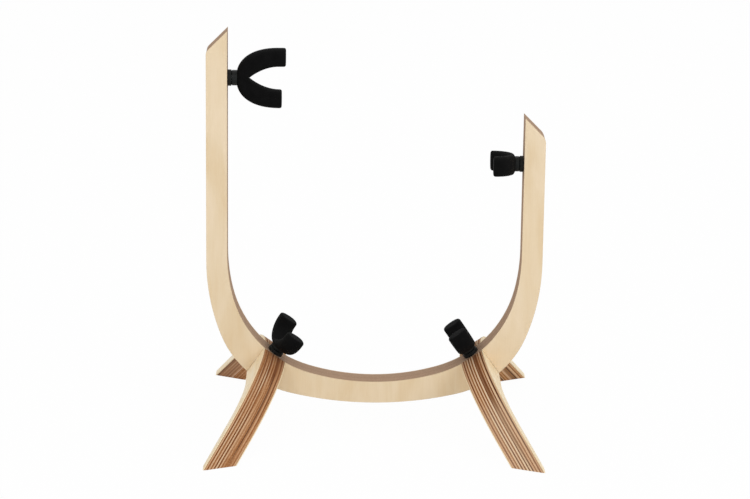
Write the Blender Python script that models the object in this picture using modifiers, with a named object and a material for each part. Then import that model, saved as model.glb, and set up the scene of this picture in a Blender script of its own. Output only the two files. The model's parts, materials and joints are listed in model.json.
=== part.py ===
"""Floor stand for a euphonium.

A U-shaped plywood upright stands on two arched plywood legs that are lapped into its lower corners.
Four foam-covered forks swivel on studs in the upright's inner edge and hold the instrument.

Metres, +Z up. The origin is on the floor under the middle of the stand, +X points to the short arm
and -Y to the front.
"""

import math
from dataclasses import dataclass, replace

import bmesh
import bpy
from mathutils import Matrix, Vector

# Boards
PLY_THICKNESS = 0.0318
EDGE_SOFTENING = 0.0008
FIT_GAP = 0.0003
ARC_CHORD = 0.009

# Upright: outer edge line, each half a belly arc, a corner arc and a shoulder arc
FRAME_HALF_WIDTH = 0.2035
BELLY_HEIGHT = 0.0272
OUTER_BELLY_RADIUS = 0.439
OUTER_CORNER_RADIUS = 0.1198
OUTER_SHOULDER_RADIUS = 0.255
OUTER_SHOULDER_HEIGHT = 0.2056

# Upright: inner edge line
ARM_WIDTH = 0.0252
BELLY_WIDTH = 0.0265
INNER_BELLY_RADIUS = 0.2765
INNER_CORNER_RADIUS = 0.136
INNER_SHOULDER_RADIUS = 0.220
INNER_SHOULDER_HEIGHT = 0.215

# Upright: arm tips, cut down towards the outer edge
LEFT_ARM_HEIGHT = 0.4872
RIGHT_ARM_HEIGHT = 0.3852
TIP_CUT_ANGLE = math.radians(45)
LEFT_TIP_ROUND = 0.009
RIGHT_TIP_ROUND = 0.013

# Legs: one arch on each side, its board leaning out at the foot
LEG_TILT = math.radians(35)
FOOT_INSET = 0.0032
FOOT_HALF_WIDTH = FRAME_HALF_WIDTH - FOOT_INSET
FEET_DEPTH = 0.3816
FOOT_LENGTH = 0.0163
TOE_HEIGHT = 0.0019
LEG_TOP_SLOPE = math.radians(51.9)
LEG_UNDER_SLOPE = math.radians(48.7)
ARCH_FLAT = 0.122
CROWN_FLAT = 0.010
CROWN_RISE = 0.0015

# Fork fittings, all turned about the stud; lengths run inwards from the wood, drops down from the arm tips
LEFT_FORK_DROP = 0.0588
RIGHT_FORK_DROP = 0.0591
SPOT_FACE_DEPTH = 0.0005
INSERT_DIAMETER = 0.012
INSERT_LENGTH = 0.0135
STUD_DIAMETER = 0.008
STUD_HEAD_DIAMETER = 0.012
STUD_HEAD_LENGTH = 0.002
COLLAR_DIAMETER = 0.0196
COLLAR_LENGTH = 0.0051
COLLAR_TAPER = 0.0006
HUB_DIAMETER = 0.0186
HUB_BASE_LENGTH = 0.0022
HUB_WALL = 0.0022
HUB_IN_FOAM = 0.0013
FITTING_CHAMFER = 0.0006

# Fork yoke and its foam sleeve
ROD_DIAMETER = 0.005
BOSS_DIAMETER = 0.014
ROD_TIP_COVER = 0.006
FOAM_WIDTH = 0.0218
FOAM_DEPTH = 0.0242
FOAM_SQUARENESS = 2.4
FOAM_TIP_ROUND = 0.0025
FOAM_CURVE_POWER = 2.3
UPPER_LEFT_PRONGS = (0.0545, 0.0594)
UPPER_RIGHT_PRONGS = (0.0284, 0.0285)
LOWER_LEFT_PRONGS = (0.0295, 0.0303)
LOWER_RIGHT_PRONGS = (0.0284, 0.0325)

# How far each fork is turned about its stud
UPPER_LEFT_TURN = math.radians(5.9)
UPPER_RIGHT_TURN = math.radians(97)
LOWER_LEFT_TURN = math.radians(99.5)
LOWER_RIGHT_TURN = math.radians(96)

# Mesh fineness
TURNED_STEPS = 20
FOAM_SIDES = 16
FOAM_STEPS = 9
TIP_STEPS = 3

# Linear colours, roughness and metallic value of each finish
BIRCH = ("birch_plywood", (0.78, 0.63, 0.45), 0.55, 0.0)
FOAM = ("black_foam", (0.008, 0.008, 0.008), 0.95, 0.0)
BLACK_PLASTIC = ("black_plastic", (0.016, 0.016, 0.015), 0.45, 0.0)
STEEL = ("zinc_plated_steel", (0.60, 0.60, 0.58), 0.35, 1.0)
BRASS = ("brass", (0.70, 0.50, 0.22), 0.35, 1.0)


@dataclass(frozen=True)
class ForkShape:
    """Outline of a fork in its own plane, measured from the back of the foam."""

    standoff: float
    curve_depth: float
    half_span: float
    crotch_depth: float


@dataclass(frozen=True)
class Fork:
    """One fork: its name, where and how it points, how far it is turned, and its two prong lengths."""

    name: str
    seat: tuple
    axis: tuple
    turn: float
    shape: ForkShape
    prong_lengths: tuple


LONG_FORK = ForkShape(standoff=0.0104, curve_depth=0.0518, half_span=0.0368, crotch_depth=0.0148)
SHORT_FORK = ForkShape(standoff=0.0084, curve_depth=0.0258, half_span=0.0439, crotch_depth=0.0078)
RAISED_SHORT_FORK = replace(SHORT_FORK, standoff=0.0096)


class EdgeLine:
    """One edge line of the upright: three tangent arcs each side of the middle, then a straight arm."""

    def __init__(self, half_width, belly_z, belly_r, corner_r, shoulder_r, shoulder_z):
        self.half_width = half_width
        belly = Vector((0.0, belly_z + belly_r))
        shoulder = Vector((half_width - shoulder_r, shoulder_z))
        between = shoulder - belly
        reach = between.length
        to_corner = belly_r - corner_r
        back = shoulder_r - corner_r
        heading = math.atan2(between.x, -between.y)
        turn = math.acos((to_corner**2 + reach**2 - back**2) / (2 * to_corner * reach))
        first = heading + turn
        corner = belly + to_corner * Vector((math.sin(first), -math.cos(first)))
        away = corner - shoulder
        second = math.atan2(away.x, -away.y)
        self.arcs = (
            (belly, belly_r, 0.0, first),
            (corner, corner_r, first, second),
            (shoulder, shoulder_r, second, math.pi / 2),
        )

    def points(self):
        """Points from the middle of the belly out to the foot of the arm, on the +X side."""
        line = [Vector((0.0, self.arcs[0][0].y - self.arcs[0][1]))]
        for centre, radius, start, end in self.arcs:
            count = max(2, math.ceil(radius * (end - start) / ARC_CHORD))
            for step in range(1, count + 1):
                angle = start + (end - start) * step / count
                line.append(centre + radius * Vector((math.sin(angle), -math.cos(angle))))
        return line

    def height(self, x):
        """Height of the line at x, below the foot of the arm."""
        for centre, radius, _, end in self.arcs:
            if abs(x) <= centre.x + radius * math.sin(end):
                return centre.y - math.sqrt(radius**2 - (abs(x) - centre.x) ** 2)
        return self.arcs[-1][0].y


OUTER_EDGE = EdgeLine(
    FRAME_HALF_WIDTH,
    BELLY_HEIGHT,
    OUTER_BELLY_RADIUS,
    OUTER_CORNER_RADIUS,
    OUTER_SHOULDER_RADIUS,
    OUTER_SHOULDER_HEIGHT,
)
INNER_EDGE = EdgeLine(
    FRAME_HALF_WIDTH - ARM_WIDTH,
    BELLY_HEIGHT + BELLY_WIDTH,
    INNER_BELLY_RADIUS,
    INNER_CORNER_RADIUS,
    INNER_SHOULDER_RADIUS,
    INNER_SHOULDER_HEIGHT,
)


def leg_frame(side):
    """Leg board's frame: X to the back, Y up the board, origin at its mid-plane by the outer foot line."""
    up = Vector((-side * math.sin(LEG_TILT), 0.0, math.cos(LEG_TILT)))
    inward = Vector((-side * math.cos(LEG_TILT), 0.0, -math.sin(LEG_TILT)))
    origin = Vector((side * FOOT_HALF_WIDTH, 0.0, 0.0)) + inward * PLY_THICKNESS / 2
    back = Vector((0.0, 1.0, 0.0))
    turned = Matrix((back, up, back.cross(up))).transposed().to_4x4()
    return Matrix.Translation(origin) @ turned


def crossing(edge):
    """How far up the leg board's middle an edge line of the upright crosses it."""
    frame = leg_frame(1)
    low, high = 0.0, FOOT_HALF_WIDTH / math.sin(LEG_TILT)
    for _ in range(60):
        middle = (low + high) / 2
        point = frame @ Vector((0.0, middle, 0.0))
        if point.z < edge.height(point.x):
            low = middle
        else:
            high = middle
    return middle


CROWN = crossing(INNER_EDGE) + CROWN_RISE
CROWN_UNDER = crossing(OUTER_EDGE)
LAP = (CROWN + CROWN_UNDER) / 2


def fork_list():
    """The four forks, placed from the upright's edges and the legs."""
    wall = FRAME_HALF_WIDTH - ARM_WIDTH
    forks = [
        Fork(
            "upper_left",
            (-wall, 0.0, LEFT_ARM_HEIGHT - LEFT_FORK_DROP),
            (1.0, 0.0, 0.0),
            UPPER_LEFT_TURN,
            LONG_FORK,
            UPPER_LEFT_PRONGS,
        ),
        Fork(
            "upper_right",
            (wall, 0.0, RIGHT_ARM_HEIGHT - RIGHT_FORK_DROP),
            (-1.0, 0.0, 0.0),
            UPPER_RIGHT_TURN,
            RAISED_SHORT_FORK,
            UPPER_RIGHT_PRONGS,
        ),
    ]
    for name, side, turn, lengths in (
        ("lower_left", -1, LOWER_LEFT_TURN, LOWER_LEFT_PRONGS),
        ("lower_right", 1, LOWER_RIGHT_TURN, LOWER_RIGHT_PRONGS),
    ):
        frame = leg_frame(side)
        seat = frame @ Vector((0.0, crossing(INNER_EDGE), 0.0))
        forks.append(Fork(name, tuple(seat), tuple(frame.col[1].xyz), turn, SHORT_FORK, lengths))
    return forks


def clear_scene():
    """Remove whatever the scene holds."""
    for item in list(bpy.data.objects):
        bpy.data.objects.remove(item, do_unlink=True)


def new_collection(name):
    """A collection linked under the scene."""
    group = bpy.data.collections.new(name)
    bpy.context.scene.collection.children.link(group)
    return group


def finish(obj, look):
    """Give an object its Principled material."""
    name, colour, roughness, metallic = look
    made = bpy.data.materials.get(name)
    if made is None:
        made = bpy.data.materials.new(name)
        made.use_nodes = True
        shader = made.node_tree.nodes["Principled BSDF"]
        shader.inputs["Base Color"].default_value = (*colour, 1.0)
        shader.inputs["Roughness"].default_value = roughness
        shader.inputs["Metallic"].default_value = metallic
    obj.data.materials.clear()
    obj.data.materials.append(made)


def mesh_object(name, shape, group):
    """An object made from a bmesh, closed up and facing out."""
    bmesh.ops.recalc_face_normals(shape, faces=shape.faces)
    mesh = bpy.data.meshes.new(name)
    shape.to_mesh(mesh)
    shape.free()
    obj = bpy.data.objects.new(name, mesh)
    group.objects.link(obj)
    return obj


def settled(obj, group):
    """A mesh object made from an evaluated curve or modifier stack, with its caps welded."""
    bpy.context.view_layer.update()
    source = obj.evaluated_get(bpy.context.evaluated_depsgraph_get())
    mesh = bpy.data.meshes.new_from_object(source)
    place = obj.matrix_world.copy()
    name = obj.name
    bpy.data.objects.remove(obj, do_unlink=True)
    shape = bmesh.new()
    shape.from_mesh(mesh)
    bpy.data.meshes.remove(mesh)
    bmesh.ops.remove_doubles(shape, verts=shape.verts, dist=0.00001)
    made = mesh_object(name, shape, group)
    made.matrix_world = place
    return made


def board(name, outline, place, group):
    """A plywood board cut to a flat outline, its long edges softened."""
    curve = bpy.data.curves.new(name, "CURVE")
    curve.dimensions = "2D"
    curve.fill_mode = "BOTH"
    curve.extrude = PLY_THICKNESS / 2
    curve.render_resolution_u = 0
    spline = curve.splines.new("POLY")
    spline.points.add(len(outline) - 1)
    for point, spot in zip(spline.points, outline):
        point.co = (spot[0], spot[1], 0.0, 1.0)
    spline.use_cyclic_u = True
    obj = bpy.data.objects.new(name, curve)
    group.objects.link(obj)
    obj.matrix_world = place
    obj = settled(obj, group)
    soften = obj.modifiers.new("soft_edges", "BEVEL")
    soften.width = EDGE_SOFTENING
    soften.segments = 1
    soften.limit_method = "ANGLE"
    soften.angle_limit = math.radians(50)
    finish(obj, BIRCH)
    return obj


def turned(name, profile, group, closed=False):
    """A piece turned about Z from (radius, height) points that run down its outer side."""
    shape = bmesh.new()
    spots = [shape.verts.new((radius, 0.0, height)) for radius, height in profile]
    for first, second in zip(spots, spots[1:]):
        shape.edges.new((first, second))
    if closed:
        shape.edges.new((spots[-1], spots[0]))
    mesh = bpy.data.meshes.new(name)
    shape.to_mesh(mesh)
    shape.free()
    obj = bpy.data.objects.new(name, mesh)
    group.objects.link(obj)
    screw = obj.modifiers.new("turned", "SCREW")
    screw.steps = TURNED_STEPS
    screw.render_steps = TURNED_STEPS
    screw.use_merge_vertices = True
    screw.merge_threshold = 0.00001
    obj = settled(obj, group)
    obj.data.shade_smooth()
    obj.data.set_sharp_from_angle(angle=math.radians(40))
    return obj


def tube_profile(outer, inner, bottom, top, chamfer=0.0):
    """Closed profile of a tube between two heights, its outer rims chamfered."""
    return [
        (outer - chamfer, top),
        (outer, top - chamfer),
        (outer, bottom + chamfer),
        (outer - chamfer, bottom),
        (inner, bottom),
        (inner, top),
    ]


def as_cutter(obj):
    """Mark an object as a cutting tool that isn't part of the stand."""
    obj.hide_render = True
    obj.display_type = "WIRE"
    return obj


def box_cutter(name, low, high, place, group):
    """A block between two corners of a frame, for cutting."""
    shape = bmesh.new()
    bmesh.ops.create_cube(shape, size=1.0)
    size = Vector(high) - Vector(low)
    for vert in shape.verts:
        vert.co = Vector(low) + Vector(c * (s + 0.5) for c, s in zip(size, vert.co))
    obj = mesh_object(name, shape, group)
    obj.matrix_world = place
    return as_cutter(obj)


def join_or_cut(obj, tool, operation):
    """Add an exact Boolean with another object."""
    change = obj.modifiers.new(tool.name, "BOOLEAN")
    change.operation = operation
    change.solver = "EXACT"
    change.object = tool


def frame_outline():
    """Outline of the upright in (x, z), once round."""
    inner = INNER_EDGE.points()
    outer = OUTER_EDGE.points()
    line = []
    for side, top, radius in ((-1, LEFT_ARM_HEIGHT, LEFT_TIP_ROUND), (1, RIGHT_ARM_HEIGHT, RIGHT_TIP_ROUND)):
        wall = INNER_EDGE.half_width
        face = OUTER_EDGE.half_width
        corner_z = top - (face - wall) * math.tan(TIP_CUT_ANGLE)
        bend = math.pi / 2 - TIP_CUT_ANGLE
        centre = Vector((face - radius, corner_z - radius * math.tan(bend / 2)))
        tip = [(wall, top)]
        for step in range(6):
            angle = bend * (1 - step / 5)
            tip.append((centre.x + radius * math.cos(angle), centre.y + radius * math.sin(angle)))
        half_inner = [(point.x, point.y) for point in inner]
        half_outer = [(point.x, point.y) for point in reversed(outer)]
        half = half_inner + tip + half_outer
        if side < 0:
            half = [(-x, z) for x, z in reversed(half)]
            line += half[1:-1]
        else:
            line += half
    return line


def make_frame(parts, cutters):
    """The upright, notched for the legs."""
    place = Matrix.Rotation(math.pi / 2, 4, "X")
    panel = board("frame_panel", frame_outline(), place, parts)
    half = PLY_THICKNESS / 2 + FIT_GAP
    beyond = PLY_THICKNESS * 2
    for side, name in ((-1, "left"), (1, "right")):
        low = (-beyond, CROWN_UNDER - beyond, -half)
        high = (beyond, LAP + FIT_GAP / 2, half)
        notch = box_cutter(name + "_frame_notch", low, high, leg_frame(side), cutters)
        join_or_cut(panel, notch, "DIFFERENCE")
    return panel


def leg_outline():
    """Outline of a leg board in its own frame, once round."""
    reach = FEET_DEPTH / 2 + TOE_HEIGHT / math.tan(LEG_TOP_SLOPE)
    top_run = reach - CROWN_FLAT / 2 - CROWN / math.tan(LEG_TOP_SLOPE)
    top_radius = top_run / math.tan(LEG_TOP_SLOPE / 2)
    inside = FEET_DEPTH / 2 - FOOT_LENGTH
    under_run = inside - ARCH_FLAT / 2 - CROWN_UNDER / math.tan(LEG_UNDER_SLOPE)
    under_radius = under_run / math.tan(LEG_UNDER_SLOPE / 2)
    spare = PLY_THICKNESS / 2
    half = []
    for angle in arc_angles(top_radius, LEG_TOP_SLOPE):
        across = CROWN_FLAT / 2 + top_radius * math.sin(angle)
        half.append((across, CROWN - top_radius * (1 - math.cos(angle))))
    half.append((FEET_DEPTH / 2, TOE_HEIGHT))
    half.append((FEET_DEPTH / 2, -spare))
    half.append((inside + spare / math.tan(LEG_UNDER_SLOPE), -spare))
    for angle in reversed(arc_angles(under_radius, LEG_UNDER_SLOPE)):
        across = ARCH_FLAT / 2 + under_radius * math.sin(angle)
        half.append((across, CROWN_UNDER - under_radius * (1 - math.cos(angle))))
    return half + [(-x, y) for x, y in reversed(half)]


def arc_angles(radius, sweep):
    """Angles along an arc from its crown, a chord apart."""
    count = max(2, math.ceil(radius * sweep / ARC_CHORD))
    return [sweep * step / count for step in range(count + 1)]


def make_leg(side, name, parts, cutters):
    """One leg: slotted at its crown for the upright and cut level at its feet."""
    frame = leg_frame(side)
    leg = board(name, leg_outline(), frame, parts)
    half = PLY_THICKNESS / 2 + FIT_GAP
    beyond = PLY_THICKNESS
    low = (-half, LAP - FIT_GAP / 2, -beyond)
    high = (half, CROWN + beyond, beyond)
    slot = box_cutter(name + "_slot", low, high, frame, cutters)
    join_or_cut(leg, slot, "DIFFERENCE")
    low = (-FOOT_HALF_WIDTH * 2, -FEET_DEPTH, -PLY_THICKNESS * 3)
    high = (FOOT_HALF_WIDTH * 2, FEET_DEPTH, 0.0)
    floor = box_cutter(name + "_floor_cut", low, high, Matrix.Identity(4), cutters)
    join_or_cut(leg, floor, "DIFFERENCE")
    return leg


def fork_matrix(fork):
    """Frame of a fork: Z along its stud into the U, X towards its first prong."""
    axis = Vector(fork.axis).normalized()
    across = Vector((0.0, 1.0, 0.0)).cross(axis)
    turned_frame = Matrix((across, axis.cross(across), axis)).transposed().to_4x4()
    turn = Matrix.Rotation(fork.turn, 4, "Z")
    return Matrix.Translation(Vector(fork.seat)) @ turned_frame @ turn


def attach(obj, holder, look):
    """Parent a fork's piece to its empty and give it its finish."""
    obj.parent = holder
    finish(obj, look)


def prong_walls(shape, share):
    """Outer and inner points of a prong's foam at a share of its curve, as (across, along)."""
    bulge = (1 - (1 - share) ** FOAM_CURVE_POWER) ** (1 / FOAM_CURVE_POWER)
    outer = Vector((shape.half_span * bulge, shape.curve_depth * share))
    flare = (shape.half_span - FOAM_WIDTH) * (1 - (1 - share) ** 2)
    inner = Vector((flare, shape.crotch_depth + (shape.curve_depth - shape.crotch_depth) * share))
    return outer, inner


def prong_sections(shape, length, side):
    """Sections of one prong's foam from the crotch to its rounded end.

    Each is its centre, its half width in the fork's plane and its half width across it.
    """
    sections = []
    for step in range(FOAM_STEPS + 1):
        share = (step / FOAM_STEPS) ** FOAM_CURVE_POWER
        outer, inner = prong_walls(shape, share)
        middle = (outer + inner) / 2
        half = (outer - inner) / 2
        sections.append(
            (
                Vector((side * middle.x, middle.y)),
                Vector((side * half.x, half.y)),
                FOAM_DEPTH / 2,
            )
        )
    middle, half, across = sections[-1]
    straight = length - shape.curve_depth - FOAM_TIP_ROUND
    for step in range(TIP_STEPS + 1):
        angle = math.radians(80) * step / TIP_STEPS
        onward = straight + FOAM_TIP_ROUND * math.sin(angle)
        shrink = 1 - FOAM_TIP_ROUND * (1 - math.cos(angle)) / across
        sections.append((middle + Vector((0.0, onward)), half * shrink, across * shrink))
    return sections


def fork_path(fork, spare=0.0):
    """Middle line of the foam from prong end to prong end, stopped short of both ends."""
    path = []
    for side, length in zip((1, -1), fork.prong_lengths):
        middles = [section[0] for section in prong_sections(fork.shape, length, side)]
        half = [spot for spot in middles[: FOAM_STEPS + 1] if spot.y < length - ROD_TIP_COVER]
        onward = (half[-1] - half[-2]).normalized()
        half[-1] = half[-1] + onward * spare
        path = half if side > 0 else list(reversed(half[1:])) + path
    return [Vector((spot.x, 0.0, fork.shape.standoff + spot.y)) for spot in path]


def rod_along(name, path, radius, group):
    """A round rod that follows a path."""
    curve = bpy.data.curves.new(name, "CURVE")
    curve.dimensions = "3D"
    curve.bevel_depth = radius
    curve.bevel_resolution = 2
    curve.render_resolution_u = 0
    curve.use_fill_caps = True
    spline = curve.splines.new("POLY")
    spline.points.add(len(path) - 1)
    for point, spot in zip(spline.points, path):
        point.co = (*spot, 1.0)
    obj = bpy.data.objects.new(name, curve)
    group.objects.link(obj)
    return settled(obj, group)


def section_point(angle):
    """Point on the unit section of the foam, a little squarer than a circle."""
    power = 2 / FOAM_SQUARENESS
    return [math.copysign(abs(part) ** power, part) for part in (math.cos(angle), math.sin(angle))]


def foam_body(fork, group):
    """Solid outer shape of a fork's foam sleeve, lofted from prong end to prong end."""
    first, second = (
        prong_sections(fork.shape, length, side) for side, length in zip((1, -1), fork.prong_lengths)
    )
    shape = bmesh.new()
    rings = []
    for middle, half, across in list(reversed(first)) + second[1:]:
        ring = []
        for count in range(FOAM_SIDES):
            along, up = section_point(2 * math.pi * count / FOAM_SIDES)
            spot = middle + half * along
            ring.append(shape.verts.new((spot.x, across * up, fork.shape.standoff + spot.y)))
        rings.append(ring)
    for ring, following in zip(rings, rings[1:]):
        for count in range(FOAM_SIDES):
            after = (count + 1) % FOAM_SIDES
            shape.faces.new((ring[count], ring[after], following[after], following[count]))
    shape.faces.new(rings[0])
    shape.faces.new(rings[-1])
    obj = mesh_object(fork.name + "_foam_cover", shape, group)
    obj.data.shade_smooth()
    obj.data.set_sharp_from_angle(angle=math.radians(60))
    return obj


def make_fork(fork, panel, parts, cutters):
    """One fork: insert, stud and collar fixed in the upright; hub, yoke and foam on a swivel."""
    place = fork_matrix(fork)
    seat = bpy.data.objects.new(fork.name + "_seat", None)
    swivel = bpy.data.objects.new(fork.name + "_swivel", None)
    for empty in (seat, swivel):
        parts.objects.link(empty)
        empty.matrix_world = place

    stud_bore = STUD_DIAMETER / 2 + FIT_GAP
    insert_top = -SPOT_FACE_DEPTH - FIT_GAP
    insert_bottom = insert_top - INSERT_LENGTH
    collar_bottom = FIT_GAP - SPOT_FACE_DEPTH
    collar_top = collar_bottom + COLLAR_LENGTH
    hub_bottom = collar_top + FIT_GAP
    hub_step = hub_bottom + HUB_BASE_LENGTH
    head_bottom = hub_step + FIT_GAP
    head_top = head_bottom + STUD_HEAD_LENGTH
    hub_top = fork.shape.standoff + HUB_IN_FOAM
    boss_bottom = hub_top + FIT_GAP

    bore = as_cutter(
        turned(
            fork.name + "_bore",
            [
                (0.0, COLLAR_LENGTH),
                (COLLAR_DIAMETER / 2 + FIT_GAP, COLLAR_LENGTH),
                (COLLAR_DIAMETER / 2 + FIT_GAP, -SPOT_FACE_DEPTH),
                (INSERT_DIAMETER / 2 + FIT_GAP, -SPOT_FACE_DEPTH),
                (INSERT_DIAMETER / 2 + FIT_GAP, insert_bottom - FIT_GAP),
                (0.0, insert_bottom - FIT_GAP),
            ],
            cutters,
        )
    )
    bore.matrix_world = place
    join_or_cut(panel, bore, "DIFFERENCE")

    insert_profile = tube_profile(
        INSERT_DIAMETER / 2, stud_bore, insert_bottom, insert_top, FITTING_CHAMFER
    )
    attach(turned(fork.name + "_insert", insert_profile, parts, closed=True), seat, BRASS)

    stud = turned(
        fork.name + "_pivot_stud",
        [
            (0.0, head_top),
            (STUD_HEAD_DIAMETER / 2, head_top),
            (STUD_HEAD_DIAMETER / 2, head_bottom),
            (STUD_DIAMETER / 2, head_bottom),
            (STUD_DIAMETER / 2, insert_bottom + FITTING_CHAMFER),
            (0.0, insert_bottom + FITTING_CHAMFER),
        ],
        parts,
    )
    attach(stud, seat, STEEL)

    collar_radius = COLLAR_DIAMETER / 2
    collar_profile = [
        (collar_radius - COLLAR_TAPER, collar_top),
        (collar_radius, collar_top - COLLAR_TAPER),
        (collar_radius, collar_bottom + FITTING_CHAMFER),
        (collar_radius - FITTING_CHAMFER, collar_bottom),
        (stud_bore, collar_bottom),
        (stud_bore, collar_top),
    ]
    attach(turned(fork.name + "_lock_collar", collar_profile, parts, closed=True), seat, BLACK_PLASTIC)

    hub_radius = HUB_DIAMETER / 2
    hub = turned(
        fork.name + "_hub",
        [
            (hub_radius, hub_top),
            (hub_radius, hub_bottom + FITTING_CHAMFER),
            (hub_radius - FITTING_CHAMFER, hub_bottom),
            (stud_bore, hub_bottom),
            (stud_bore, hub_step),
            (hub_radius - HUB_WALL, hub_step),
            (hub_radius - HUB_WALL, hub_top),
        ],
        parts,
        closed=True,
    )
    attach(hub, swivel, BLACK_PLASTIC)

    rod = rod_along(fork.name + "_yoke_rod", fork_path(fork), ROD_DIAMETER / 2, parts)
    boss_top = fork.shape.standoff + fork.shape.crotch_depth / 2
    boss = as_cutter(
        turned(
            fork.name + "_boss",
            [
                (0.0, boss_top),
                (BOSS_DIAMETER / 2, boss_top),
                (BOSS_DIAMETER / 2, boss_bottom),
                (0.0, boss_bottom),
            ],
            cutters,
        )
    )
    boss.parent = swivel
    join_or_cut(rod, boss, "UNION")
    attach(rod, swivel, STEEL)

    foam = foam_body(fork, parts)
    channel = rod_along(
        fork.name + "_channel",
        fork_path(fork, FIT_GAP),
        ROD_DIAMETER / 2 + FIT_GAP,
        cutters,
    )
    pocket = turned(
        fork.name + "_pocket",
        [
            (0.0, boss_top + FIT_GAP),
            (BOSS_DIAMETER / 2 + FIT_GAP, boss_top + FIT_GAP),
            (BOSS_DIAMETER / 2 + FIT_GAP, boss_bottom),
            (hub_radius + FIT_GAP, boss_bottom),
            (hub_radius + FIT_GAP, hub_bottom),
            (0.0, hub_bottom),
        ],
        cutters,
    )
    for tool in (channel, pocket):
        tool.parent = swivel
        join_or_cut(foam, as_cutter(tool), "DIFFERENCE")
    attach(foam, swivel, FOAM)


def main():
    """Model the whole stand."""
    clear_scene()
    parts = new_collection("euphonium_stand")
    cutters = new_collection("cutting_tools")
    panel = make_frame(parts, cutters)
    make_leg(-1, "left_leg", parts, cutters)
    make_leg(1, "right_leg", parts, cutters)
    for fork in fork_list():
        make_fork(fork, panel, parts, cutters)


main()
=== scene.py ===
"""Looks of the euphonium stand: birch plywood boards, foam forks, a pale floor and soft studio light."""

import json
import logging
import math
from dataclasses import dataclass, field, replace
from enum import Enum
from typing import Mapping, Sequence

import bmesh
import bpy
from mathutils import Matrix, Vector


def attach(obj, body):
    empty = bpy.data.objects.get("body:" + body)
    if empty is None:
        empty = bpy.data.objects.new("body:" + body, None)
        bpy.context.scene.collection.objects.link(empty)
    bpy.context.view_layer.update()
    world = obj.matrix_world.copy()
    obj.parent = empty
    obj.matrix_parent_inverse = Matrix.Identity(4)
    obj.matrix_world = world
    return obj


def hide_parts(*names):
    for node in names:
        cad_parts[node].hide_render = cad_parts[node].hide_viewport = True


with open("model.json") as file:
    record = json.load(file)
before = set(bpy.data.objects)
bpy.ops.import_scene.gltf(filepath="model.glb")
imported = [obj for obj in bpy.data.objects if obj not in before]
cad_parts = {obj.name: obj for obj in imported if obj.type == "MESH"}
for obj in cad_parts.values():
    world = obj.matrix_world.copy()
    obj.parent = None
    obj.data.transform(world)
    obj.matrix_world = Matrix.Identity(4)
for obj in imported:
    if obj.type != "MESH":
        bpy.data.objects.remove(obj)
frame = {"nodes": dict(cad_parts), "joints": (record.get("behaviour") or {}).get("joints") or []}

log = logging.getLogger("scene")

PICTURE_WIDTH = 750
FOCAL_PIXELS = 2786.1
SENSOR_WIDTH = 36.0

BOARD_THICKNESS = 0.0318
PLY_COUNT = 19
LEG_TILT = math.radians(35)
FOOT_HALF_WIDTH = 0.2003

FOAM_WIDTH = 0.0218
FOAM_DEPTH = 0.0242
FOAM_SQUARENESS = 2.4
FOAM_END_ROUND = 0.0025
FOAM_CURVE_POWER = 2.3
FOAM_SIDES = 40
FOAM_RINGS = 26
END_RINGS = 6


class Metal(Enum):
    """Metals of the parts inside the forks and the boards."""

    ZINC = "B9BAB8"
    BRASS = "CBA155"


def linear(code: str) -> tuple[float, float, float, float]:
    """Turn an sRGB hex colour into the linear colour that Blender's sockets take.

    Args:
        code: Six hex digits, red first.

    Returns:
        Linear red, green and blue, and an alpha of one.
    """
    shares = [int(code[start:start + 2], 16) / 255 for start in (0, 2, 4)]
    light = [c / 12.92 if c <= 0.04045 else ((c + 0.055) / 1.055) ** 2.4 for c in shares]
    return light[0], light[1], light[2], 1.0


class NodeMaker:
    """Adds nodes to one material's or world's tree."""

    def __init__(self, tree: bpy.types.NodeTree) -> None:
        """Take over an empty tree.

        Args:
            tree: The node tree to fill.
        """
        self.tree = tree
        self.tree.nodes.clear()

    def add(self, kind: str, inputs: Mapping[int | str, object] | None = None, out: int | str = 0,
            **settings: object) -> bpy.types.NodeSocket:
        """Add a node, set its properties and fill its inputs.

        Args:
            kind: Blender's name of the node's type, without the ShaderNode in front.
            inputs: Values or other nodes' output sockets, by the input's number or name.
            out: The number or name of the output to hand back.
            **settings: Properties of the node itself, such as its operation.

        Returns:
            The chosen output socket, or the first input of a node that has no outputs.
        """
        node = self.tree.nodes.new("ShaderNode" + kind)
        for name, value in settings.items():
            setattr(node, name, value)
        for key, value in (inputs or {}).items():
            if isinstance(value, bpy.types.NodeSocket):
                self.tree.links.new(value, node.inputs[key])
            else:
                node.inputs[key].default_value = value
        return node.outputs[out] if len(node.outputs) else node.inputs[0]

    def ramp(self, factor: bpy.types.NodeSocket, stops: Sequence[tuple[float, str]]) -> bpy.types.NodeSocket:
        """Add a colour ramp.

        Args:
            factor: What drives the ramp.
            stops: Positions and sRGB hex colours, in rising order.

        Returns:
            The ramp's colour output.
        """
        colour = self.add("ValToRGB", {0: factor})
        elements = colour.node.color_ramp.elements
        while len(elements) < len(stops):
            elements.new(1.0)
        for element, (position, code) in zip(elements, stops):
            element.position = position
            element.color = linear(code)
        return colour


@dataclass(frozen=True)
class Streak:
    """A ply whose cut edge stands out from its neighbours over a part of a board's length.

    Attributes:
        share: Where it lies, from nought at the outer or front face to one at the opposite face.
        width: Its width as a share of the board's thickness.
        colour: Its sRGB hex colour.
        start: Where it starts along the board, in metres towards the back.
        end: Where it ends.
        strength: How fully it covers what is below it.
    """

    share: float
    width: float
    colour: str
    start: float
    end: float
    strength: float = 0.8


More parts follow.
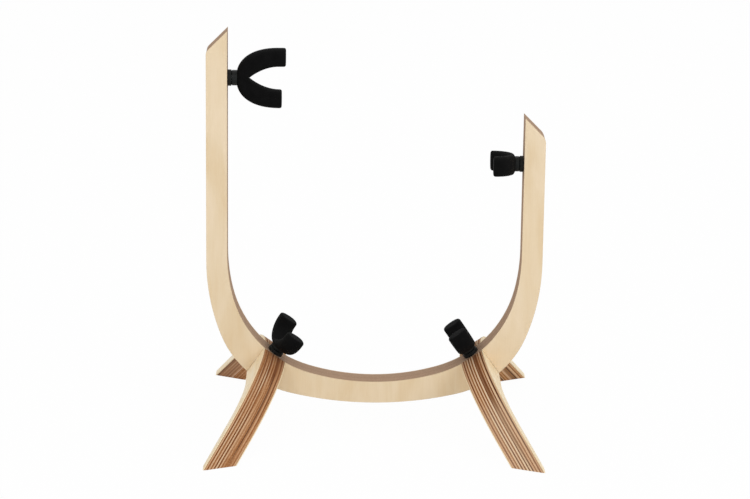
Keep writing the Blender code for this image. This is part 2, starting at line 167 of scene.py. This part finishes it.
@dataclass(frozen=True)
class BoardFinish:
    """Sanded and satin-lacquered birch plywood, cut from a sheet with its plies square to its faces.

    Attributes:
        name: The material's name.
        across: Unit vector square to the board's faces.
        middle: A point on the board's middle ply.
        grain: Unit vector along the face veneer's grain.
        face: Dark to light colours of the face veneer.
        plies: Dark to light colours of the plies' cut edges.
        contrast: How far light and dark plies differ, from nought to one.
        patchiness: How far that contrast comes and goes along the board, from nought to one.
        seed: Picks which plies come out darker.
        streaks: The plies that stand out.
    """

    name: str
    across: Vector
    middle: Vector
    grain: Vector
    face: tuple[str, str, str]
    plies: tuple[str, str, str, str, str]
    contrast: float
    patchiness: float
    seed: float
    streaks: tuple[Streak, ...] = ()

    def build(self) -> bpy.types.Material:
        """Make the material.

        Returns:
            The finished material.
        """
        material = bpy.data.materials.new(self.name)
        material.use_nodes = True
        maker = NodeMaker(material.node_tree)
        place = maker.add("TexCoord", out="Object")
        grained = self._grained_place(maker, place)
        face_colour, figure = self._face(maker, grained)
        edge_colour, hatching = self._edge(maker, place)
        on_face = self._face_share(maker)
        colour = maker.add("Mix", {"Factor": on_face, 6: edge_colour, 7: face_colour}, 2, data_type="RGBA")
        colour = self._shade(maker, colour)
        height = maker.add("Mix", {"Factor": on_face, 2: hatching, 3: figure}, data_type="FLOAT")
        # The lacquer's film leaves the grain just felt, so the relief is a few hundredths of a millimetre
        relief = maker.add("Bump", {"Strength": 0.5, "Distance": 0.00005, "Height": height})
        # Lacquer sinks into the open cut edges and leaves them matt, while the faces keep a satin sheen
        matt = maker.add("Mix", {"Factor": on_face, 2: 0.8, 3: 0.45}, data_type="FLOAT")
        rough = maker.add("Math", {0: height, 1: 0.12, 2: matt}, operation="MULTIPLY_ADD")
        shader = maker.add("BsdfPrincipled", {"Base Color": colour, "Roughness": rough, "Normal": relief,
                                              "IOR": 1.5, "Specular IOR Level": 0.25})
        maker.add("OutputMaterial", {"Surface": shader})
        return material

    def _grained_place(self, maker: NodeMaker, place: bpy.types.NodeSocket) -> bpy.types.NodeSocket:
        """Turn a place into one whose X runs along the grain and Z through the board.

        Args:
            maker: The material's node maker.
            place: The place in the object, in metres.

        Returns:
            The turned place.
        """
        side = self.across.cross(self.grain)
        shares = [maker.add("VectorMath", {0: place, 1: axis}, "Value", operation="DOT_PRODUCT")
                  for axis in (self.grain, side, self.across)]
        return maker.add("CombineXYZ", {0: shares[0], 1: shares[1], 2: shares[2]})

    def _face(self, maker: NodeMaker, grained: bpy.types.NodeSocket
              ) -> tuple[bpy.types.NodeSocket, bpy.types.NodeSocket]:
        """Colour and relief of the rotary-cut face veneer.

        Broad soft flames and blotches, a few centimetres across, come from the peeling knife crossing
        the growth rings; fine streaks under a millimetre wide are the pores.

        Args:
            maker: The material's node maker.
            grained: The place, with X along the grain.

        Returns:
            The colour and the relief.
        """
        flames = maker.add("Mapping", {0: grained, 3: (9.0, 38.0, 30.0)})
        flame = maker.add("TexNoise", {"Vector": flames, "Scale": 1.0, "Detail": 3.0, "Roughness": 0.45,
                                       "Distortion": 1.4})
        pores = maker.add("Mapping", {0: grained, 3: (45.0, 1300.0, 600.0)})
        pore = maker.add("TexNoise", {"Vector": pores, "Scale": 1.0, "Detail": 3.0, "Roughness": 0.6})
        mixed = maker.add("Mix", {"Factor": 0.28, 2: flame, 3: pore}, data_type="FLOAT")
        dark, middle, light = self.face
        return maker.ramp(mixed, [(0.34, dark), (0.5, middle), (0.64, light)]), pore

    def _edge(self, maker: NodeMaker, place: bpy.types.NodeSocket
              ) -> tuple[bpy.types.NodeSocket, bpy.types.NodeSocket]:
        """Colour and relief of the cut edges, where each ply shows as a stripe.

        The saw leaves a fine hatching across all the plies, and the face veneers show as a cream line
        on both sides.

        Args:
            maker: The material's node maker.
            place: The place in the object, in metres.

        Returns:
            The colour and the relief.
        """
        through = maker.add("VectorMath", {0: place, 1: self.across}, "Value", operation="DOT_PRODUCT")
        wander = maker.add("TexNoise", {"Vector": place, "Scale": 14.0, "Detail": 1.0})
        offset = 0.5 - 0.005 - self.middle.dot(self.across) / BOARD_THICKNESS
        share = maker.add("Math", {0: through, 1: 1 / BOARD_THICKNESS, 2: offset}, operation="MULTIPLY_ADD")
        share = maker.add("Math", {0: wander, 1: 0.01, 2: share}, operation="MULTIPLY_ADD")
        along = maker.add("SeparateXYZ", {0: place}, 1)
        hatch = maker.add("TexNoise", {"Vector": place, "Scale": 700.0, "Detail": 2.0, "Roughness": 0.7})
        tone = self._ply_tone(maker, share, along, hatch)
        colour = maker.ramp(tone, list(zip((0.2, 0.36, 0.5, 0.64, 0.8), self.plies)))
        for streak in self.streaks:
            colour = self._lay(maker, streak, colour, share, along)
        off_middle = maker.add("Math", {0: share, 1: 0.5}, operation="SUBTRACT")
        depth = maker.add("Math", {0: off_middle}, operation="ABSOLUTE")
        veneer = maker.add("MapRange", {0: depth, 1: 0.455, 2: 0.475})
        colour = maker.add("Mix", {"Factor": veneer, 6: colour, 7: linear(self.face[0])}, 2,
                           data_type="RGBA")
        return colour, hatch

    def _ply_tone(self, maker: NodeMaker, share: bpy.types.NodeSocket, along: bpy.types.NodeSocket,
                  hatch: bpy.types.NodeSocket) -> bpy.types.NodeSocket:
        """How light each ply's cut edge is, from nought to one.

        Plies laid crosswise show end grain, which soaks up lacquer and turns dark; the plies between
        stay light. No two plies come from the same log, so each has its own tone, and its figure runs
        along it for a few centimetres.

        Args:
            maker: The material's node maker.
            share: The place through the board.
            along: The place along the board.
            hatch: The saw's hatching.

        Returns:
            The tone.
        """
        ply = maker.add("Math", {0: share, 1: float(PLY_COUNT)}, operation="MULTIPLY")
        number = maker.add("Math", {0: ply}, operation="FLOOR")
        odd = maker.add("Math", {0: number, 1: 2.0}, operation="FLOORED_MODULO")
        picked = maker.add("Math", {0: number, 1: self.seed})
        chance = maker.add("TexWhiteNoise", {"W": picked}, noise_dimensions="1D")
        stretched = maker.add("Math", {0: along, 1: 22.0}, operation="MULTIPLY")
        figured = maker.add("CombineXYZ", {0: ply, 1: stretched, 2: self.seed})
        figure = maker.add("TexNoise", {"Vector": figured, "Scale": 1.0, "Detail": 3.0, "Roughness": 0.6})
        own = maker.add("Mix", {"Factor": 0.65, 2: chance, 3: odd}, data_type="FLOAT")
        grit = maker.add("Mix", {"Factor": 0.55, 2: figure, 3: hatch}, data_type="FLOAT")
        broad = maker.add("Math", {0: share, 1: 4.0}, operation="MULTIPLY")
        far = maker.add("Math", {0: along, 1: 14.0}, operation="MULTIPLY")
        runs = maker.add("CombineXYZ", {0: broad, 1: far, 2: self.seed})
        patches = maker.add("TexNoise", {"Vector": runs, "Scale": 1.0, "Detail": 1.0})
        least, most = self.contrast * (1 - self.patchiness), self.contrast * (1 + self.patchiness)
        contrast = maker.add("MapRange", {0: patches, 1: 0.35, 2: 0.65, 3: least, 4: most})
        return maker.add("Mix", {"Factor": contrast, 2: grit, 3: own}, data_type="FLOAT")

    def _lay(self, maker: NodeMaker, streak: Streak, below: bpy.types.NodeSocket,
             share: bpy.types.NodeSocket, along: bpy.types.NodeSocket) -> bpy.types.NodeSocket:
        """Lay a streak over the plies' colour.

        Args:
            maker: The material's node maker.
            streak: The ply that stands out.
            below: The colour it lies on.
            share: The place through the board.
            along: The place along the board.

        Returns:
            The colour with the streak.
        """
        middle = (streak.start + streak.end) / 2
        reach = (streak.end - streak.start) / 2
        parts = []
        for value, centre, full, gone, most in (
                (share, streak.share, streak.width * 0.3, streak.width * 0.6, streak.strength),
                (along, middle, reach, reach + 0.025, 1.0)):
            off = maker.add("Math", {0: value, 1: centre}, operation="SUBTRACT")
            off = maker.add("Math", {0: off}, operation="ABSOLUTE")
            parts.append(maker.add("MapRange", {0: off, 1: full, 2: gone, 3: most, 4: 0.0}))
        cover = maker.add("Math", {0: parts[0], 1: parts[1]}, operation="MULTIPLY")
        return maker.add("Mix", {"Factor": cover, 6: below, 7: linear(streak.colour)}, 2, data_type="RGBA")

    def _face_share(self, maker: NodeMaker) -> bpy.types.NodeSocket:
        """One on the board's faces and nought on its cut edges.

        Args:
            maker: The material's node maker.

        Returns:
            The share of face veneer.
        """
        normal = maker.add("NewGeometry", out="True Normal")
        facing = maker.add("VectorMath", {0: normal, 1: self.across}, "Value", operation="DOT_PRODUCT")
        facing = maker.add("Math", {0: facing}, operation="ABSOLUTE")
        return maker.add("Math", {0: facing, 1: 0.9}, operation="GREATER_THAN")

    def _shade(self, maker: NodeMaker, colour: bpy.types.NodeSocket) -> bpy.types.NodeSocket:
        """Darken the softened arrises a little, and those that face the floor more.

        This is painted shade: the arrises are darkened as though in shade, a little all round and more where
        they face the floor.

        Args:
            maker: The material's node maker.
            colour: The board's colour.

        Returns:
            The colour with its darker arrises.
        """
        normal = maker.add("NewGeometry", out="True Normal")
        facing = maker.add("VectorMath", {0: normal, 1: self.across}, "Value", operation="DOT_PRODUCT")
        facing = maker.add("Math", {0: facing}, operation="ABSOLUTE")
        slant = maker.add("Math", {0: facing, 1: 0.7, 2: 0.2}, operation="COMPARE")
        rise = maker.add("SeparateXYZ", {0: normal}, 2)
        down = maker.add("MapRange", {0: rise, 1: -0.1, 2: -0.45, 3: 0.2, 4: 0.75})
        # Painted shade: slanted arrises are mixed toward dark brown, more where they face down
        painted_shade = maker.add("Math", {0: slant, 1: down}, operation="MULTIPLY")
        return maker.add("Mix", {"Factor": painted_shade, 6: colour, 7: linear("5E5042")}, 2, data_type="RGBA")


@dataclass(frozen=True)
class FoamFinish:
    """Closed-cell foam rubber sleeve, moulded and skinned: very dark and quite matt, with fine pores.

    Attributes:
        name: The material's name.
    """

    name: str = "black_foam_rubber_moulded_skin"

    def build(self) -> bpy.types.Material:
        """Make the material.

        Returns:
            The finished material.
        """
        material = bpy.data.materials.new(self.name)
        material.use_nodes = True
        maker = NodeMaker(material.node_tree)
        place = maker.add("TexCoord", out="Object")
        pores = maker.add("TexVoronoi", {"Vector": place, "Scale": 1500.0})
        bloom = maker.add("TexNoise", {"Vector": place, "Scale": 90.0, "Detail": 4.0, "Roughness": 0.6})
        colour = maker.ramp(bloom, [(0.35, "070707"), (0.65, "0C0C0C")])
        grain = maker.add("Mix", {"Factor": 0.3, 2: pores, 3: bloom}, data_type="FLOAT")
        # Broken cells a fraction of a millimetre wide scatter the light, so no highlight forms
        relief = maker.add("Bump", {"Strength": 0.6, "Distance": 0.0002, "Height": grain})
        shader = maker.add("BsdfPrincipled", {"Base Color": colour, "Roughness": 0.94, "Normal": relief,
                                              "Specular IOR Level": 0.1})
        maker.add("OutputMaterial", {"Surface": shader})
        return material


@dataclass(frozen=True)
class PlasticFinish:
    """Injection-moulded black nylon with a spark-eroded texture that softens its sheen.

    Attributes:
        name: The material's name.
    """

    name: str = "black_nylon_moulded"

    def build(self) -> bpy.types.Material:
        """Make the material.

        Returns:
            The finished material.
        """
        material = bpy.data.materials.new(self.name)
        material.use_nodes = True
        maker = NodeMaker(material.node_tree)
        place = maker.add("TexCoord", out="Object")
        texture = maker.add("TexNoise", {"Vector": place, "Scale": 2600.0, "Detail": 2.0})
        handling = maker.add("TexNoise", {"Vector": place, "Scale": 120.0, "Detail": 3.0})
        colour = maker.ramp(handling, [(0.3, "0B0E0D"), (0.7, "121514")])
        # Handled spots have lost part of their texture and shine a little more
        rough = maker.add("MapRange", {0: handling, 1: 0.3, 2: 0.7, 3: 0.5, 4: 0.66})
        relief = maker.add("Bump", {"Strength": 0.35, "Distance": 0.00004, "Height": texture})
        shader = maker.add("BsdfPrincipled", {"Base Color": colour, "Roughness": rough, "Normal": relief,
                                              "IOR": 1.53, "Specular IOR Level": 0.2})
        maker.add("OutputMaterial", {"Surface": shader})
        return material


@dataclass(frozen=True)
class MetalFinish:
    """Turned metal, with the fine rings that the tool leaves.

    Attributes:
        name: The material's name.
        metal: Which metal it is.
        roughness: How blurred its reflections are on average.
    """

    name: str
    metal: Metal
    roughness: float

    def build(self) -> bpy.types.Material:
        """Make the material.

        Returns:
            The finished material.
        """
        material = bpy.data.materials.new(self.name)
        material.use_nodes = True
        maker = NodeMaker(material.node_tree)
        place = maker.add("TexCoord", out="Object")
        marks = maker.add("TexNoise", {"Vector": place, "Scale": 700.0, "Detail": 3.0})
        # Tool marks break up the reflection without dulling it
        rough = maker.add("MapRange", {0: marks, 3: self.roughness - 0.08, 4: self.roughness + 0.12})
        relief = maker.add("Bump", {"Strength": 0.3, "Distance": 0.00003, "Height": marks})
        shader = maker.add("BsdfPrincipled", {"Base Color": linear(self.metal.value), "Metallic": 1.0,
                                              "Roughness": rough, "Normal": relief})
        maker.add("OutputMaterial", {"Surface": shader})
        return material


def leg_across(side: int) -> Vector:
    """Unit vector square to a leg board's faces, towards the middle of the stand.

    Args:
        side: -1 for the left leg, 1 for the right.

    Returns:
        The vector.
    """
    return Vector((-side * math.cos(LEG_TILT), 0.0, -math.sin(LEG_TILT)))


def board_finishes() -> dict[str, BoardFinish]:
    """The finish of each board, by its node.

    Returns:
        The three finishes.
    """
    finishes = {
        "frame_panel": BoardFinish(
            name="birch_plywood_upright", across=Vector((0.0, 1.0, 0.0)), middle=Vector((0.0, 0.0, 0.0)),
            grain=Vector((0.0, 0.0, 1.0)), face=("DDC5A0", "E2CDAC", "E6D2B4"),
            plies=("80644F", "957861", "AA8B71", "BC9E84", "CFB196"), contrast=0.22, patchiness=0.5,
            seed=3.7),
    }
    left = (
        Streak(0.21, 0.05, "4A200A", -0.075, -0.02),
        Streak(0.21, 0.04, "7A4A28", -0.16, -0.075, 0.5),
        Streak(0.42, 0.05, "4A200A", -0.06, -0.02),
        Streak(0.42, 0.04, "7A4A28", -0.16, -0.06, 0.5),
        Streak(0.68, 0.13, "5E2C12", -0.065, -0.02),
        Streak(0.715, 0.05, "4A230C", -0.16, -0.065, 0.85),
        Streak(0.86, 0.045, "5A2A10", -0.112, -0.02),
        Streak(0.54, 0.05, "D9AE84", -0.16, -0.1, 0.5),
        Streak(0.79, 0.04, "CF9F78", -0.16, -0.02, 0.5),
        Streak(0.5, 3.0, "8A4E16", -0.055, -0.02, 0.3),
        Streak(0.5, 3.0, "7A4A28", -0.2, -0.02, 0.12),
        Streak(0.28, 0.50, "A07A5E", 0.09, 0.2, 0.6),
        Streak(0.07, 0.06, "6B4A36", 0.09, 0.2),
        Streak(0.54, 0.04, "E2C4A8", 0.09, 0.2),
    )
    right = (
        Streak(0.105, 0.04, "3A1A06", -0.16, -0.02, 0.9),
        Streak(0.055, 0.035, "DDB78F", -0.16, -0.06),
        Streak(0.16, 0.035, "DDB78F", -0.16, -0.02),
        Streak(0.36, 0.15, "6B3A14", -0.11, -0.02, 0.85),
        Streak(0.36, 0.13, "8C6038", -0.16, -0.11, 0.6),
        Streak(0.485, 0.04, "E6CBAA", -0.16, -0.02),
        Streak(0.605, 0.035, "E6CBAA", -0.16, -0.02),
        Streak(0.5, 3.0, "8A4E16", -0.055, -0.02, 0.15),
        Streak(0.5, 3.0, "E0CCB2", -0.2, -0.13, 0.14),
        Streak(0.5, 3.0, "C8955F", 0.09, 0.2, 0.4),
        Streak(0.22, 0.04, "D8B896", 0.09, 0.2),
        Streak(0.285, 0.055, "4A3020", 0.09, 0.2, 0.9),
        Streak(0.39, 0.04, "6B5340", 0.09, 0.2),
        Streak(0.46, 0.035, "DDBB9C", 0.09, 0.2),
        Streak(0.74, 0.05, "4B3423", 0.155, 0.16, 0.9),
    )
    for side, name, seed, contrast, patchiness, streaks in (
            (-1, "left_leg", 11.3, 0.3, 0.8, left),
            (1, "right_leg", 26.9, 0.62, 0.3, right)):
        across = leg_across(side)
        middle = Vector((side * FOOT_HALF_WIDTH, 0.0, 0.0)) + across * BOARD_THICKNESS / 2
        # Painted light: the legs' face veneer is painted lighter than the upright's, making up for the light
        # their outward-leaning faces miss
        finishes[name] = BoardFinish(
            name="birch_plywood_" + name, across=across, middle=middle, grain=Vector((0.0, 1.0, 0.0)),
            face=("F1DAB3", "F7E3BF", "F9EACE"), plies=("683410", "8E572D", "B07C50", "CCA079", "E3C5A0"),
            contrast=contrast, patchiness=patchiness, seed=seed, streaks=streaks)
    return finishes


@dataclass(frozen=True)
class SleeveShape:
    """Outline of a foam fork in its own plane, in metres.

    Attributes:
        standoff: From the wood to the back of the foam.
        curve_depth: From the back of the foam to where its prongs run straight.
        half_span: From the stud's axis to the outside of a prong.
        crotch_depth: From the back of the foam to the crotch.
    """

    standoff: float
    curve_depth: float
    half_span: float
    crotch_depth: float


@dataclass(frozen=True)
class FoamSleeve:
    """The foam sleeve of one fork, as a fine mesh in place of its CAD solid.

    Attributes:
        name: The fork's name.
        turn: How far the fork is turned about its stud, in radians.
        shape: Its outline.
        prong_lengths: From the back of the foam to the end of each prong.
    """

    name: str
    turn: float
    shape: SleeveShape
    prong_lengths: tuple[float, float]

    def build(self, material: bpy.types.Material) -> bpy.types.Object:
        """Make the sleeve and let it ride on its fork.

        Args:
            material: The foam.

        Returns:
            The new piece.
        """
        rings = self._rings()
        shape = bmesh.new()
        loops = [[shape.verts.new(point) for point in ring] for ring in rings]
        for loop, following in zip(loops, loops[1:]):
            for count in range(FOAM_SIDES):
                after = (count + 1) % FOAM_SIDES
                shape.faces.new((loop[count], loop[after], following[after], following[count]))
        for loop in (loops[0], loops[-1]):
            shape.faces.new(loop)
        bmesh.ops.recalc_face_normals(shape, faces=shape.faces)
        mesh = bpy.data.meshes.new(self.name + "_foam_sleeve")
        shape.to_mesh(mesh)
        shape.free()
        mesh.transform(self._place())
        piece = bpy.data.objects.new(self.name + "_foam_sleeve", mesh)
        bpy.context.scene.collection.objects.link(piece)
        self._cut_pocket(piece)
        piece.data.materials.clear()
        piece.data.materials.append(material)
        piece.data.shade_smooth()
        piece.data.set_sharp_from_angle(angle=math.radians(50))
        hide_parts(self.name + "_foam_cover")
        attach(piece, self.name + "_fork")
        log.info("%s: %d faces", piece.name, len(piece.data.polygons))
        return piece

    def _joint(self) -> dict[str, object]:
        """The record's joint that this fork turns on.

        Returns:
            The joint's entry.
        """
        return next(joint for joint in frame["joints"] if joint["name"] == self.name + "_swivel")

    def _place(self) -> Matrix:
        """The fork's own frame: Z along its stud, X towards its first prong.

        Returns:
            The frame's matrix.
        """
        joint = self._joint()
        axis = Vector(joint["axis"]).normalized()
        across = Vector((0.0, 1.0, 0.0)).cross(axis)
        turned = Matrix((across, axis.cross(across), axis)).transposed().to_4x4()
        return Matrix.Translation(Vector(joint["pos_m"])) @ turned @ Matrix.Rotation(self.turn, 4, "Z")

    def _walls(self, share: float) -> tuple[Vector, Vector]:
        """Outer and inner line of a prong at a share of its curve.

        Args:
            share: From nought at the crotch to one where the prong runs straight.

        Returns:
            Outer and inner points as across and along.
        """
        form = self.shape
        bulge = (1 - (1 - share) ** FOAM_CURVE_POWER) ** (1 / FOAM_CURVE_POWER)
        flare = (form.half_span - FOAM_WIDTH) * (1 - (1 - share) ** 2)
        along = form.crotch_depth + (form.curve_depth - form.crotch_depth) * share
        return Vector((form.half_span * bulge, form.curve_depth * share)), Vector((flare, along))

    def _prong(self, side: int, length: float) -> list[tuple[Vector, Vector, float]]:
        """Sections of one prong from the crotch to its rounded end.

        Args:
            side: 1 for the first prong, -1 for the second.
            length: From the back of the foam to the prong's end.

        Returns:
            Each section's middle, its half width in the fork's plane and its half width across it.
        """
        sections = []
        for step in range(FOAM_RINGS + 1):
            outer, inner = self._walls((step / FOAM_RINGS) ** FOAM_CURVE_POWER)
            middle = (outer + inner) / 2
            half = (outer - inner) / 2
            sections.append((Vector((side * middle.x, middle.y)), Vector((side * half.x, half.y)),
                             FOAM_DEPTH / 2))
        middle, half, across = sections.pop()
        straight = max(0.0, length - self.shape.curve_depth - FOAM_END_ROUND)
        for step in range(END_RINGS + 1):
            angle = math.pi / 2 * step / END_RINGS
            onward = straight + FOAM_END_ROUND * math.sin(angle)
            shrink = 1 - FOAM_END_ROUND * (1 - math.cos(angle)) / across
            sections.append((middle + Vector((0.0, onward)), half * shrink, across * shrink))
        return sections

    def _rings(self) -> list[list[Vector]]:
        """Rings of points round the foam from prong end to prong end, in the fork's frame.

        Returns:
            The rings.
        """
        first, second = (self._prong(side, length) for side, length in zip((1, -1), self.prong_lengths))
        rings = []
        for middle, half, across in list(reversed(first)) + second[1:]:
            ring = []
            for count in range(FOAM_SIDES):
                along, up = self._section_point(2 * math.pi * count / FOAM_SIDES)
                spot = middle + half * along
                ring.append(Vector((spot.x, across * up, self.shape.standoff + spot.y)))
            rings.append(ring)
        return rings

    @staticmethod
    def _section_point(angle: float) -> list[float]:
        """Point on the foam's unit section, a little squarer than a circle.

        Args:
            angle: Where round the section, in radians.

        Returns:
            Its two coordinates.
        """
        power = 2 / FOAM_SQUARENESS
        return [math.copysign(abs(part) ** power, part) for part in (math.cos(angle), math.sin(angle))]

    def _cut_pocket(self, piece: bpy.types.Object) -> None:
        """Open the back of the foam for the hub.

        Args:
            piece: The sleeve.
        """
        depth = 0.0016
        cutter_mesh = bpy.data.meshes.new("pocket")
        shape = bmesh.new()
        bmesh.ops.create_cone(shape, cap_ends=True, segments=48, radius1=0.0096, radius2=0.0096, depth=0.02)
        shape.to_mesh(cutter_mesh)
        shape.free()
        cutter = bpy.data.objects.new("pocket", cutter_mesh)
        bpy.context.scene.collection.objects.link(cutter)
        back = Matrix.Translation((0.0, 0.0, self.shape.standoff + depth - 0.01))
        cutter.matrix_world = self._place() @ back
        cut = piece.modifiers.new("pocket", "BOOLEAN")
        cut.object = cutter
        cut.operation = "DIFFERENCE"
        cut.solver = "EXACT"
        bpy.context.view_layer.update()
        done = bpy.data.meshes.new_from_object(piece.evaluated_get(bpy.context.evaluated_depsgraph_get()))
        piece.modifiers.clear()
        piece.data = done
        bpy.data.objects.remove(cutter, do_unlink=True)


@dataclass
class Forks:
    """The four forks: foam sleeves made anew, and the CAD fittings dressed.

    Attributes:
        sleeves: The foam sleeves.
        fittings: Finish of each kind of fitting, by the end of its node's name.
    """

    sleeves: list[FoamSleeve] = field(default_factory=list)
    fittings: dict[str, PlasticFinish | MetalFinish] = field(default_factory=dict)

    @classmethod
    def standard(cls) -> "Forks":
        """The forks as they stand in the photograph.

        Returns:
            The forks.
        """
        tall = SleeveShape(0.0104, 0.0518, 0.0368, 0.0148)
        wide = SleeveShape(0.0084, 0.0258, 0.0439, 0.0078)
        raised = replace(wide, standoff=0.0096)
        plastic = PlasticFinish()
        steel = MetalFinish("zinc_plated_turned_steel", Metal.ZINC, 0.3)
        return cls(
            [
                FoamSleeve("upper_left", math.radians(5.9), tall, (0.0545, 0.0594)),
                FoamSleeve("upper_right", math.radians(97), raised, (0.0284, 0.0285)),
                FoamSleeve("lower_left", math.radians(99.5), wide, (0.0295, 0.0303)),
                FoamSleeve("lower_right", math.radians(96), wide, (0.0284, 0.0325)),
            ],
            {"hub": plastic, "lock_collar": plastic, "pivot_stud": steel, "yoke_rod": steel,
             "insert": MetalFinish("turned_brass", Metal.BRASS, 0.3)},
        )

    def build(self) -> None:
        """Make the sleeves and dress the fittings."""
        foam = FoamFinish().build()
        for sleeve in self.sleeves:
            sleeve.build(foam)
        made = {finish: finish.build() for finish in set(self.fittings.values())}
        for sleeve in self.sleeves:
            for ending, finish in self.fittings.items():
                dress(sleeve.name + "_" + ending, made[finish])


@dataclass
class Boards:
    """The upright and the legs, kept from the CAD model with a plywood finish.

    Attributes:
        finishes: Each board's finish, by its node.
    """

    finishes: dict[str, BoardFinish]

    def build(self) -> None:
        """Dress each board."""
        for node, finish in self.finishes.items():
            dress(node, finish.build())


def dress(node: str, material: bpy.types.Material) -> None:
    """Put a material on a CAD node.

    Args:
        node: The node's name.
        material: Its new material.
    """
    slots = frame["nodes"][node].material_slots
    for slot in slots:
        slot.material = material
    log.info("%s: %s", node, material.name)


@dataclass
class Studio:
    """Floor, white surroundings, soft lamps and the camera.

    Attributes:
        floor_size: Width of the floor in metres.
    """

    floor_size: float = 40.0

    def build(self) -> None:
        """Set up everything round the object."""
        self._floor()
        self._world()
        self._lamp("key_softbox", (-1.0, -2.8, 1.8), 1.7, 21.0)
        self._lamp("fill_softbox", (1.9, -2.3, 1.5), 1.7, 24.0)
        self._lamp("back_softbox", (0.4, 2.2, 2.4), 1.8, 9.0)
        self._camera()
        bpy.context.scene.view_settings.view_transform = "Standard"

    def _seen(self, maker: NodeMaker) -> bpy.types.NodeSocket:
        """One for what the camera, a mirror or glass sees.

        Args:
            maker: The tree's node maker.

        Returns:
            The share.
        """
        camera = maker.add("LightPath", out="Is Camera Ray")
        glossy = maker.add("LightPath", out="Is Glossy Ray")
        through = maker.add("LightPath", out="Is Transmission Ray")
        either = maker.add("Math", {0: camera, 1: glossy}, operation="MAXIMUM")
        return maker.add("Math", {0: either, 1: through}, operation="MAXIMUM")

    def _floor(self) -> None:
        """A pale matt floor that looks white and still takes the object's shadow."""
        half = self.floor_size / 2
        mesh = bpy.data.meshes.new("studio_floor")
        shape = bmesh.new()
        bmesh.ops.create_grid(shape, x_segments=1, y_segments=1, size=half)
        shape.to_mesh(mesh)
        shape.free()
        floor = bpy.data.objects.new("studio_floor", mesh)
        bpy.context.scene.collection.objects.link(floor)
        material = bpy.data.materials.new("white_paper_roll")
        material.use_nodes = True
        maker = NodeMaker(material.node_tree)
        paper = maker.add("BsdfDiffuse", {"Color": linear("F6F6F6")})
        white = maker.add("Emission", {"Color": (1.0, 1.0, 1.0, 1.0), "Strength": 1.0})
        share = maker.add("Math", {0: self._seen(maker), 1: 0.97}, operation="MULTIPLY")
        shader = maker.add("MixShader", {0: share, 1: paper, 2: white})
        maker.add("OutputMaterial", {"Surface": shader})
        floor.data.materials.append(material)

    def _world(self) -> None:
        """White where it is seen, and a plain soft sky for the light."""
        world = bpy.data.worlds.new("studio")
        world.use_nodes = True
        maker = NodeMaker(world.node_tree)
        sky = maker.add("Background", {0: (1.0, 1.0, 1.0, 1.0), 1: 0.65})
        white = maker.add("Background", {0: (1.0, 1.0, 1.0, 1.0), 1: 1.0})
        shader = maker.add("MixShader", {0: self._seen(maker), 1: sky, 2: white})
        maker.add("OutputWorld", {"Surface": shader})
        bpy.context.scene.world = world

    def _lamp(self, name: str, place: Sequence[float], size: float, power: float) -> None:
        """A square softbox aimed at the stand.

        Args:
            name: The lamp's name.
            place: Where it hangs, in metres.
            size: Length of its side in metres.
            power: Its power in watts.
        """
        lamp = bpy.data.lights.new(name, "AREA")
        lamp.size = size
        lamp.energy = power
        holder = bpy.data.objects.new(name, lamp)
        bpy.context.scene.collection.objects.link(holder)
        holder.location = place
        aim = Vector((0.0, 0.0, 0.22)) - holder.location
        holder.rotation_euler = aim.to_track_quat("-Z", "Y").to_euler()

    def _camera(self) -> None:
        """The photograph's camera: low tilt, long lens, a hair of turn and roll."""
        down, turn, roll = 0.26377, 0.01649, 0.01346
        forward = Vector((math.sin(turn) * math.cos(down), math.cos(turn) * math.cos(down), -math.sin(down)))
        level = Vector((math.cos(turn), -math.sin(turn), 0.0))
        up = level.cross(forward)
        right = math.cos(roll) * level + math.sin(roll) * up
        up = right.cross(forward)
        data = bpy.data.cameras.new("camera")
        data.sensor_width = SENSOR_WIDTH
        data.lens = FOCAL_PIXELS / PICTURE_WIDTH * SENSOR_WIDTH
        data.clip_end = 100.0
        camera = bpy.data.objects.new("camera", data)
        bpy.context.scene.collection.objects.link(camera)
        turned = Matrix((right, up, -forward)).transposed().to_4x4()
        camera.matrix_world = Matrix.Translation((-0.05324, -3.26674, 1.09977)) @ turned
        bpy.context.scene.camera = camera


def main() -> None:
    """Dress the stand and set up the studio."""
    logging.basicConfig(level=logging.INFO, format="%(message)s")
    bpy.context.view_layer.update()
    Boards(board_finishes()).build()
    Forks.standard().build()
    Studio().build()


if __name__ == "__main__":
    main()
